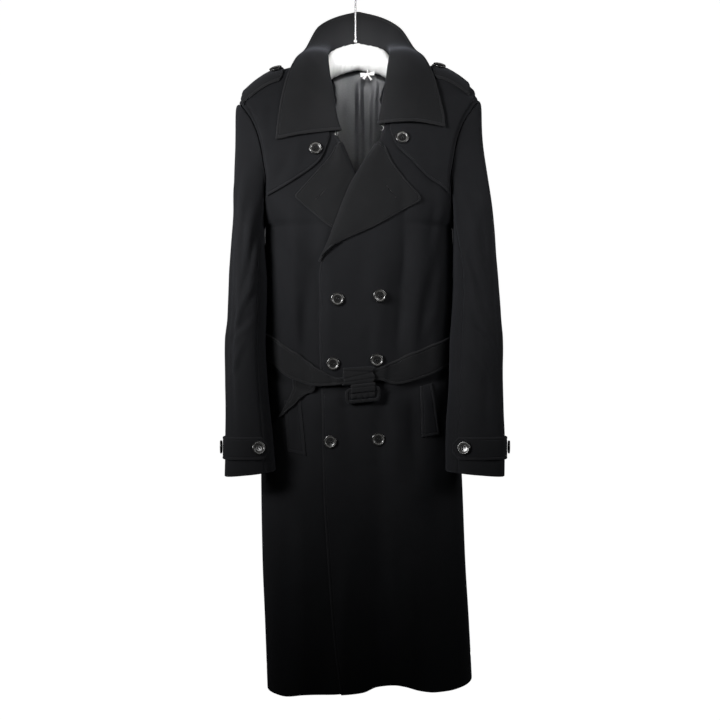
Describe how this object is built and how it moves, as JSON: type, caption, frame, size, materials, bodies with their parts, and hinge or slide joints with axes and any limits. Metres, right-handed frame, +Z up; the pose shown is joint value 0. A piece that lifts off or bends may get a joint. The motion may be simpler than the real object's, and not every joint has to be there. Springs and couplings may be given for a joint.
{
  "type": "military greatcoat on a padded hanger",
  "caption": "Long double-breasted black wool greatcoat with storm flaps, epaulettes, cuff straps and a tied belt, on a white padded hanger with a wire hook.",
  "frame": {"origin": "inside of the hanger hook's crown, where the hook rests on a rod", "axes": "+Z up along the hook's neck, the coat's front faces -Y, +X is the wearer's left"},
  "size_m": [0.5177, 0.265, 1.3331],
  "materials": {
    "wool": "matte black wool twill",
    "lining": "satin charcoal lining",
    "button": "polished black horn",
    "satin": "white satin",
    "wire": "bright steel wire"
  },
  "bodies": {
    "root": {"back": "wool", "front_left": "wool", "front_right": "wool", "lapel_left": "wool", "lapel_right": "wool", "collar": "wool", "storm_flap_left": "wool", "storm_flap_right": "wool", "epaulette_left": "wool", "epaulette_right": "wool", "sleeve_left_upper": "wool", "sleeve_left_under": "wool", "sleeve_right_upper": "wool", "sleeve_right_under": "wool", "cuff_strap_left": "wool", "cuff_strap_right": "wool", "pocket_welt_left": "wool", "pocket_welt_right": "wool", "belt": "wool", "belt_tail": "wool", "belt_wrap": "wool", "belt_turn": "wool", "buckle": "wool", "lining_back": "lining", "button_top_left": "button", "button_top_right": "button", "button_waist_left": "button", "button_waist_right": "button", "button_low_left": "button", "button_low_right": "button", "button_storm_left": "button", "button_storm_right": "button", "button_shoulder_left": "button", "button_shoulder_right": "button", "button_cuff_left_front": "button", "button_cuff_left_side": "button", "button_cuff_right_front": "button", "button_cuff_right_side": "button", "hanger_pad": "satin", "ribbon_bow": "satin", "hanger_hook": "wire"}
  },
  "joints": []
}
